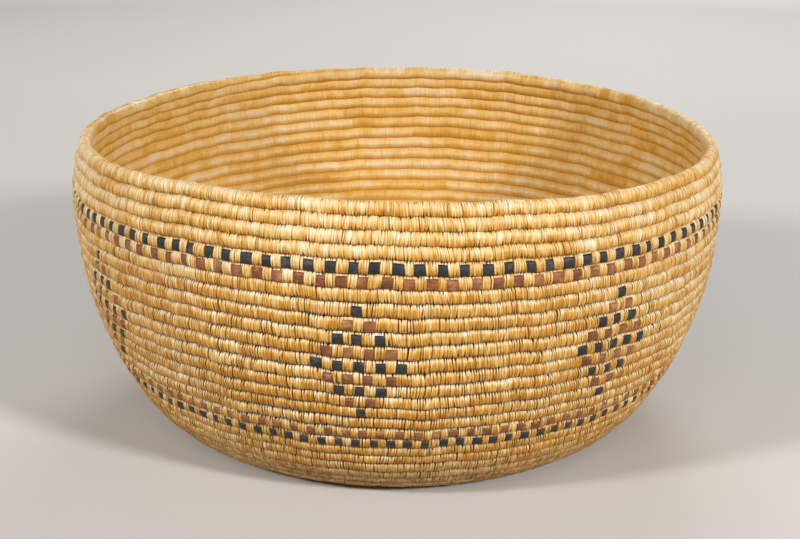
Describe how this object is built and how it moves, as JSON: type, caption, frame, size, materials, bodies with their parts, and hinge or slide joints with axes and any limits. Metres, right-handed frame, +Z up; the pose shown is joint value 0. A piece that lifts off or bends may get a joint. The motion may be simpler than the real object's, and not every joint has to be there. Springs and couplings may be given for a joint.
{
  "type": "coiled grass basket",
  "caption": "Deep open bowl basket of one sewn grass coil, with dyed banded strips laid on its outer face and a rounded heel.",
  "frame": {"origin": "middle of the underside, on the surface that the basket stands on", "axes": "+Z up out of the mouth, -Y towards the front of the basket as pictured, +X to its right"},
  "size_m": [0.3424, 0.3424, 0.1594],
  "materials": {
    "natural_grass": "split golden grass stitches, satin",
    "worn_grass": "worn and soiled grass stitches, matt",
    "black_strip": "thin dyed strip, satin",
    "brown_strip": "thin dyed strip, satin"
  },
  "bodies": {
    "root": {"rim_coil": "natural_grass", "upper_wall_coil": "natural_grass", "diamond_wall_coil": "natural_grass", "lower_wall_coil": "natural_grass", "heel_coil": "worn_grass", "base_coil": "worn_grass", "start_knot": "worn_grass", "upper_black_strip": "black_strip", "upper_brown_strip": "brown_strip", "lower_brown_strip": "brown_strip", "lower_black_strip": "black_strip"}
  },
  "joints": []
}
